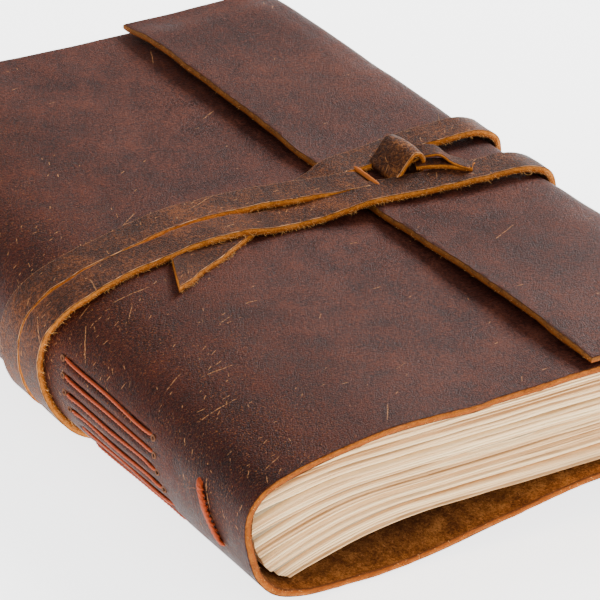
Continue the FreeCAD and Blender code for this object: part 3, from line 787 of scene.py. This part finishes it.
def signature(number, body):
    """One gathering: its fold lies along the spine's round, and its leaves end in deckled edges."""
    high, low = 1 - (number - 1) / SIGNATURES, 1 - number / SIGNATURES
    a = np.concatenate([[0, 0.004, 0.012], np.linspace(0.025, 0.985, 74), [0.995, 1.0]])
    b = np.concatenate([[0, 0.003, 0.01], np.linspace(0.025, 0.975, 50), [0.99, 0.997, 1.0]])
    c = np.linspace(0, 1, LEAVES * 7 + 1)
    grid_a, grid_b, grid_c = np.meshgrid(a, b, c, indexing="ij")
    rng = np.random.default_rng(100 + number)
    y0 = (grid_b * 2 - 1) * PAGE_HALF
    off_centre = np.abs(2 * grid_c - 1)
    gap = 0.018 + 0.006 * grain_noise(y0, 0, 20.0, number) + PINCH[number - 1] * (1 - ease(grid_a / 0.10))
    level = low + (high - low) * (gap + (1 - 2 * gap) * grid_c)
    fold_x, fold_z = fold_at(level, y0)
    fold_x += 0.45 * off_centre ** 3
    x = fold_x + (PAGE_EDGE_X - fold_x) * grid_a
    far = PAGES_LOW + 0.25 + (PAGES_HIGH - PAGES_LOW - 0.25) * level
    far += 0.45 * np.sin(grid_a * 5.2 + 0.6) * (1 - level) ** 2 * toward_end(y0)
    fall = np.clip(1 - (x - fold_x) / (36 - 12 * level), 0, 1) ** 2
    z = far + (fold_z - far) * fall
    cockle = grain_noise(x, level * 55, 13.0, 60 + number) * np.sin(np.pi * level)
    z += 0.16 * cockle * (1 - off_centre ** 4)
    # each leaf ends where it was torn, and the lines between leaves wander along the edge
    corners = 0.7 * off_centre ** 6
    leaf, near_face = leaf_of(grid_c * LEAVES + 0.22 * grain_noise(x, y0 * 0, 34.0, 70 + number))
    back = rng.uniform(-0.45, 0.30, LEAVES + 1)[leaf] * 0.8 - 0.30 * near_face ** 3.5 - corners
    back += 0.14 * grain_noise(x + 31 * leaf, y0, 7.0, 80 + number)
    y = y0 + np.sign(y0) * back * ease((np.abs(y0) - (PAGE_HALF - 6)) / 6)
    leaf, near_face = leaf_of(grid_c * LEAVES + 0.22 * grain_noise(y0, 0, 34.0, 90 + number))
    back = rng.uniform(-0.6, 0.2, LEAVES + 1)[leaf] - 0.34 * near_face ** 2.5 - corners
    back += 0.3 * grain_noise(y0 + 31 * leaf, x * 0, 3.0, 95 + number)
    x = x + back * ease((grid_a - 0.95) / 0.05)
    pile = Pile()
    marks = (SIGNATURES - number + c) * LEAVES
    lattice(pile, np.stack([x, y, z], axis=-1), a * 120, (b * 2 - 1) * PAGE_HALF, marks, slots=(0, 1, 0))
    piece = pile.mesh(f"signature_leaves_{number}", [PAGE, DECKLE], 60)
    stands_for(piece, body, f"signature_{number}")


def signature_sewing(number, body):
    """The thread along the inside of a gathering's fold."""
    path = []
    for y in np.linspace(-PAGE_HALF + 9, PAGE_HALF - 9, 25):
        x, z = fold_at(1 - (number - 0.5) / SIGNATURES, y)
        path.append((x + THREAD_OFF, y, z))
    pile = Pile()
    cord_mesh(pile, path, 0.4, 2, 2.4, 0.8)
    piece = pile.mesh(f"signature_sewing_{number}", [THREAD], 60)
    stands_for(piece, body, f"signature_thread_{number}")


for count in range(1, SIGNATURES + 1):
    moves_with = f"leaf_{count}" if count < SIGNATURES else "book"
    signature(count, moves_with)
    signature_sewing(count, moves_with)


# --- the strap ---
HALF = STRAP_WIDE / 2
BAND_LAYERS = np.array([0.0, 0.15, 0.5, 0.85, 1.0])
CUT_OVER = 22  # the length over which a strip narrows to its point


def band(names, controls, half, seed, end_cut=0.0, thick=STRAP, cup=0.0, step=1.1, fray=9.0,
         slots=STRAP_SLOTS, turned=False):
    """A strip along paths, each from where the last ends, one mesh each; turned: grain side inwards."""
    whole = through([point for part in controls for point in part], 24)
    ends = [0, *(24 * (np.cumsum([len(part) for part in controls]) - 1))]
    total = lengths(whole)[-1]
    joins = lengths(whole)[ends]
    pieces = [rows(a, b, step, (0.25, 0.7)) for a, b in zip(joins[:-1], joins[1:])]
    stations = np.concatenate([pieces[0]] + [p[1:] for p in pieces[1:]])
    spine = at_lengths(whole, stations)
    beside = np.clip(stations[:, None] + [-0.6, 0.6], 0, total)
    tangent = unit(np.gradient(at_lengths(whole, beside.ravel()).reshape(-1, 2, 3), axis=1)[:, 0])
    sideways = unit(np.array([0.0, 1.0, 0.0]) - tangent * tangent[:, 1:2])
    face = np.cross(sideways, tangent) * (-1 if turned else 1)
    across = rows(-half, half, 1.3, (0.22, 0.6))
    s, b = np.meshgrid(stations, across, indexing="ij")
    points = np.zeros((len(stations), len(across), len(BAND_LAYERS), 3))
    waver = 0.16 * grain_noise(s, b * 0, 5.0, seed) + 0.10 * grain_noise(s, b * 0, 1.6, seed + 1)
    rise = 0.10 * grain_noise(s, b, 4.0, seed + 2) - cup * (b / half) ** 2
    # an angled cut at the far end: the side at +half stops short
    cut = end_cut * (b + half) / (2 * half) * ease((s - (total - CUT_OVER)) / CUT_OVER)
    pulled = np.clip(s - cut, 0, total)
    origin = at_lengths(whole, pulled.ravel()).reshape(*pulled.shape, 3) if end_cut else spine[:, None, :]
    for k, layer in enumerate(BAND_LAYERS):
        rolled = 0.20 * abs(2 * layer - 1) ** 3
        chew = 0.13 * grain_noise(s + 40 * k, b + 17 * k, 0.8, seed + 3)
        wide = b.copy()
        for column, sign in ((0, 1), (-1, -1)):
            wide[:, column] += sign * (rolled + chew[:, column])
        wide = wide + waver
        height = thick * (layer - 0.5) + rise
        if layer == BAND_LAYERS[-1]:
            height[:, [0, -1]] -= 0.08
        points[:, :, k] = origin + sideways[:, None] * wide[:, :, None] + face[:, None] * height[:, :, None]
        for row, sign in ((0, 1), (-1, -1)):
            points[row, :, k] += tangent[row] * sign * (rolled + chew[row])[:, None]
    made, first = [], 0
    for number, (name, part) in enumerate(zip(names, pieces)):
        last = first + len(part)
        pile = Pile()
        lattice(pile, points[first:last], stations[first:last], across, BAND_LAYERS, flip=not turned)
        rng = np.random.default_rng(seed + 5 + number)
        for column, sign in ((0, -1), (-1, 1)):
            at = rng.integers(first + 1, last - 2, int((part[-1] - part[0]) * fray))
            roots = edge_roots(rng, points[at, column], points[at + 1, column, 0], 0.02, 0.65)
            fibres(pile, roots, sideways[at] * sign, face[at], seed + 18 + 2 * number + column, mean=0.52)
        made.append(pile.mesh(name, slots))
        first = last - 1
    return made


UNDER_1, UNDER_2 = STRAP * 1.5 + 0.1, STRAP * 0.5 + 0.15
RUN_B = [(25.9, -5.8, 36.4), (25.2, -5.8, 38.0), (23.2, -5.5, 39.15), (19.5, -4.7, 39.1), (14, -3.2, 38.6),
         (7, -1.6, 38.35), (-4, -0.2, 38.3), (-16, 0.2, 38.25), (-28, -0.3, 37.9), (-37, -1.4, 37.0),
         (-45, -3.0, 36.3), (-53, -3.9, 34.9), (-60.4, -3.4, 31.4), (-64.8, -2.8, 26.2), (-65.95, -2.6, 20),
         (-65.1, -3.0, 13.2), (-62.3, -3.6, 7.2), (-57.4, -4.3, 3.6), (-49, -5.0, UNDER_1),
         (-25, -6.6, UNDER_1), (0, -8.2, UNDER_1)]
TURN_C = [(28, -10.0, UNDER_1), (48, -11.6, UNDER_1), (57, -12.8, 3.3),
          (63.2, -14.2, 8.0), (65.9, -15.8, 16), (66.3, -17.0, 25), (66.6, -17.5, 32.6), (64.8, -17.4, 38.8),
          (58.6, -16.9, 41.5), (48, -15.7, 41.2), (37, -14.1, 40.3), (27, -12.1, 39.5), (20, -10.8, 39.1),
          (13, -10.0, 37.9), (4, -9.0, 36.75), (-6, -8.7, 36.9), (-13, -8.7, 37.9), (-20, -8.75, 38.2)]
RUN_C = [(-27, -8.9, 37.9), (-34, -9.4, 37.0), (-44, -10.6, 36.25), (-53, -12.2, 34.9),
         (-60.4, -12.0, 31.4), (-64.8, -11.0, 26.2), (-65.95, -10.9, 20), (-64.9, -11.8, 13.2),
         (-62.1, -14.4, 7.4), (-57.6, -16.2, 3.2), (-49, -16.4, UNDER_2), (-25, -11.6, UNDER_2),
         (0, -6.4, UNDER_2)]
RUN_A = [(28, -0.6, UNDER_2), (48, 2.9, UNDER_2), (57, 3.7, 2.0), (63.8, 4.1, 7.6),
         (66.0, 4.0, 16), (66.3, 3.6, 25), (66.6, 3.3, 32.6), (64.8, 3.2, 38.8), (58.6, 3.2, 41.6),
         (49, 3.5, 41.4), (41, 4.1, 40.5), (34, 3.9, 39.6), (27, 3.4, 39.2), (20.5, 2.8, 39.0),
         (14.5, 1.6, 37.3), (8, 0.2, 36.6), (-2, -3.0, 36.5), (-14, -9.0, 36.5), (-26, -15.0, 36.5),
         (-34, -19.0, 36.6), (-41.1, -22.6, 37.0)]
STRAP_NAMES = ("strap_first_turn", "strap_second_rise", "strap_second_turn", "strap_last_rise")
strap_b, strap_2, strap_c, strap_a = band(STRAP_NAMES, (RUN_B, TURN_C, RUN_C, RUN_A), HALF, 201, end_cut=10.4)
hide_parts("strap_run_b", "strap_under_1")
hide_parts("strap_run_c")
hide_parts("strap_under_2")
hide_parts("strap_run_a", "strap_tip")
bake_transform(strap_b)
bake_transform(strap_2)
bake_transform(strap_c)
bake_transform(strap_a)

# the knot: the strap comes up through the far slit, folds sharply over itself and is drawn under
KNOT = [(37.2, -3.2, 38.0), (37.9, -3.3, 40.6), (37.9, -3.4, 42.9), (36.4, -3.5, 44.9), (34.4, -3.6, 45.2),
        (32.5, -3.8, 43.6), (30.9, -4.0, 41.5), (29.6, -4.2, 39.9), (29.9, -4.2, 39.0), (32.0, -4.2, 39.3)]
knot, = band(["strap_knot_roll"], [KNOT], HALF + KNOT_WIDER, 301, thick=STRAP * 0.7, cup=0.5, step=0.5,
             fray=1.5, slots=KNOT_SLOTS)
LEAF = [(35.5, -4.6, 42.2), (38.6, -5.6, 43.4), (41.2, -7.8, 43.9), (43.6, -11.2, 43.0), (46.4, -15.2, 42.4)]
LEAF_LOW = [(36.0, -7.6, 41.6), (38.6, -9.0, 42.0), (41.4, -11.0, 42.3), (44.0, -13.2, 42.3),
            (46.6, -15.3, 42.2)]
leaf_top, = band(["strap_end_upper"], [LEAF], 2.5, 311, thick=0.7, step=0.5, fray=1.0, turned=True)
leaf_low, = band(["strap_end_lower"], [LEAF_LOW], 1.7, 321, thick=1.2, step=0.5, fray=1.6, turned=True)
# the raised raw lip of the slit that the first turn comes out of
SLIT_LIP = [(25.0, 0.8, 38.8), (24.7, -0.4, 39.9), (24.4, -3.5, 40.2), (24.3, -6.8, 40.2), (24.4, -9.2, 39.9),
            (24.7, -10.0, 39.0)]
rim = Pile()
cord_mesh(rim, SLIT_LIP, 0.52, 3, 60.0, 0.3)
slit_lip = rim.mesh("strap_slit_lip", [SLIT_EDGE], 60)
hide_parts("strap_knot", "strap_tab")
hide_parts("strap_knot_end")
for piece in (knot, leaf_top, leaf_low, slit_lip):
    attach(piece, "flap")


# --- the sewing ---
STITCH_THICK = 0.40
STITCH_DIP = ((0, -1.4), (0.5, -0.6), (1.6, -0.20), (6, -0.25))  # from a hole along the stitch, and outwards
RIM_FROM = 12  # the lowest stitches lie under the bend, where their rims cannot be seen
RIM_AROUND, RIM_TUBE = 16, 8
WRAP_LOW, WRAP_HIGH = (81.5, 12.0), (75.2, 24.6)
WRAP_TURNS = 9
TURN_STEPS = 8


def spine_at(y, height, out):
    """Where the spine's grain side stands at a height, a little way out from it."""
    share = toward_end(y)
    low, high = (sum(SPANS[:n]) for n in SPINE_SPANS)
    mid, end = OUTLINES
    outline = mid[low:high] * (1 - share) + end[low:high] * share
    return np.interp(-height, -outline[:, 1], outline[:, 0]) - out


def lip(pile, centre, radius, seed):
    """The raised rim that the awl left round a sewing hole."""
    rng = np.random.default_rng(seed)
    around, tube = (np.linspace(0, 2 * math.pi, n, endpoint=False) for n in (RIM_AROUND, RIM_TUBE))
    size = 1 + rng.uniform(-0.25, 0.25, RIM_AROUND)[:, None]
    reach = radius * (1 + 0.42 * np.cos(tube) * size)
    vertices = np.stack([centre[0] - 0.20 * size * np.sin(tube), centre[1] + reach * np.cos(around)[:, None],
                         centre[2] + reach * np.sin(around)[:, None]], axis=-1)
    faces, uvs = [], []
    for i in range(RIM_AROUND):
        for j in range(RIM_TUBE):
            here, beyond, above = i * RIM_TUBE, (i + 1) % RIM_AROUND * RIM_TUBE, (j + 1) % RIM_TUBE
            faces.append([here + j, beyond + j, beyond + above, here + above])
            uvs += [(i, j), (i + 1, j), (i + 1, j + 1), (i, j + 1)]
    pile.add(vertices, faces, [1] * len(faces), np.array(uvs) * 0.4)


def long_stitches(place, way):
    """The six long stitches at one end of the spine, sunk at both ends into their holes."""
    pile = Pile()
    for number, (height, near) in enumerate(zip(STITCH_HEIGHTS, STITCH_NEAR)):
        rising = [(near + reach, out) for reach, out in STITCH_DIP]
        falling = [(near + STITCH_LONG - reach, out) for reach, out in STITCH_DIP[::-1]]
        path = []
        for y, out in (*rising, (near + STITCH_LONG / 2, -0.20), *falling):
            sag = 0.25 * math.sin(y * 0.35 + number)
            path.append((spine_at(y, height, out), way * y, height + sag))
        cord_mesh(pile, path, STITCH_THICK, 2, 2.4)
        for y in (near - 0.1, near + STITCH_LONG + 0.1) if height > RIM_FROM else ():
            lip(pile, (spine_at(y, height, -0.05), way * y, height), 0.60, number * 3 + int(y))
    piece = pile.mesh(f"sewing_long_{place}", [THREAD, RIM], 60)
    stands_for(piece, "book", f"long_stitches_{place}")


def wrapped_stitch(place, way):
    """The upright stitch near the end of the spine, with its thread wound round it."""
    pile = Pile()

    def at(share):
        """A place on the stitch, in y and z, from its low end (0) to its high end (1)."""
        return [low + (high - low) * share for low, high in zip(WRAP_LOW, WRAP_HIGH)]

    for beside in (-0.45, 0.0, 0.45):
        path = []
        for share, out in ((0.0, -1.2), (0.05, 0.2), (0.3, 0.55), (0.7, 0.55), (0.95, 0.2), (1.0, -1.2)):
            y, z = at(share)
            path.append((spine_at(y, z, out), way * y + beside, z + beside * 0.4))
        cord_mesh(pile, path, 0.42, 2, 2.2)
    helix = []
    for step in range(WRAP_TURNS * TURN_STEPS + 1):
        y, z = at(0.10 + 0.80 * step / (WRAP_TURNS * TURN_STEPS))
        angle = 2 * math.pi * step / TURN_STEPS
        helix.append((spine_at(y, z, 0.25 + 0.50 * math.cos(angle)), way * y + 0.66 * math.sin(angle), z))
    cord_mesh(pile, helix, 0.33, 2, 1.8)
    piece = pile.mesh(f"sewing_wrapped_{place}", [THREAD, RIM], 60)
    stands_for(piece, "book", f"wrapped_stitch_{place}")


for end, sign in (("tail", -1), ("head", 1)):
    long_stitches(end, sign)
    wrapped_stitch(end, sign)


# --- the studio: a pale floor, soft light and the camera; places in metres ---
AIM = (0, 0, 0.02)
FLOOR_GLOW = 2.9
ROOM_LIGHT = 0.72
CAMERA_PLACE = (-0.39093, -0.53835, 0.37777)
CAMERA_TURN = (-36.84, 28.76, 4.89)  # bearing, elevation and roll, in degrees
CAMERA_LENS = 200.4


def area_light(name, place, size, power, colour=(1, 1, 1)):
    """A soft rectangular lamp that points at the book."""
    data = bpy.data.lights.new(name, "AREA")
    data.shape = "RECTANGLE"
    data.size, data.size_y = size
    data.energy = power
    data.color = colour
    light = bpy.data.objects.new(name, data)
    light.location = place
    light.rotation_mode = "QUATERNION"
    light.rotation_quaternion = (Vector(AIM) - Vector(place)).to_track_quat("-Z", "Y")
    bpy.context.scene.collection.objects.link(light)


def studio():
    bpy.ops.mesh.primitive_plane_add(size=8.0, location=(0, 0, 0))
    floor = bpy.context.object
    floor.name = "floor"
    paint = Nodes("floor_white", 0.9, 0.1)
    paint.shader.inputs["Emission Color"].default_value = (1, 1, 1, 1)
    paint.shader.inputs["Emission Strength"].default_value = FLOOR_GLOW
    floor.data.materials.append(paint.finish((0.92, 0.92, 0.92, 1)))
    world = bpy.data.worlds.new("studio")
    bpy.context.scene.world = world
    world.use_nodes = True
    back = world.node_tree.nodes["Background"]
    back.inputs["Color"].default_value = (1.0, 1.0, 1.0, 1)
    back.inputs["Strength"].default_value = ROOM_LIGHT
    area_light("key", (0.75, 0.30, 0.62), (0.42, 0.42), 16.5)
    area_light("side", (-0.5, 0.6, 0.5), (0.6, 0.5), 2.0, (0.92, 0.96, 1.0))
    area_light("fill", (0.1, -0.9, 0.45), (0.6, 0.6), 3.0, (1.0, 0.97, 0.93))


def camera():
    """The camera, above the tail end of the spine."""
    azimuth, elevation, roll = (math.radians(x) for x in CAMERA_TURN)
    back = Vector((math.sin(azimuth) * math.cos(elevation), -math.cos(azimuth) * math.cos(elevation),
                   math.sin(elevation)))
    level = Vector((math.cos(azimuth), math.sin(azimuth), 0))
    above = back.cross(level)
    right = level * math.cos(roll) + above * math.sin(roll)
    up = back.cross(right)
    data = bpy.data.cameras.new("camera")
    data.lens = CAMERA_LENS
    data.sensor_width = 36.0
    data.clip_start, data.clip_end = 0.01, 20
    eye = bpy.data.objects.new("camera", data)
    turned = Matrix((right, up, back)).transposed().to_4x4()
    eye.matrix_world = Matrix.Translation(Vector(CAMERA_PLACE)) @ turned
    bpy.context.scene.collection.objects.link(eye)
    bpy.context.scene.camera = eye


studio()
camera()
bpy.context.view_layer.update()
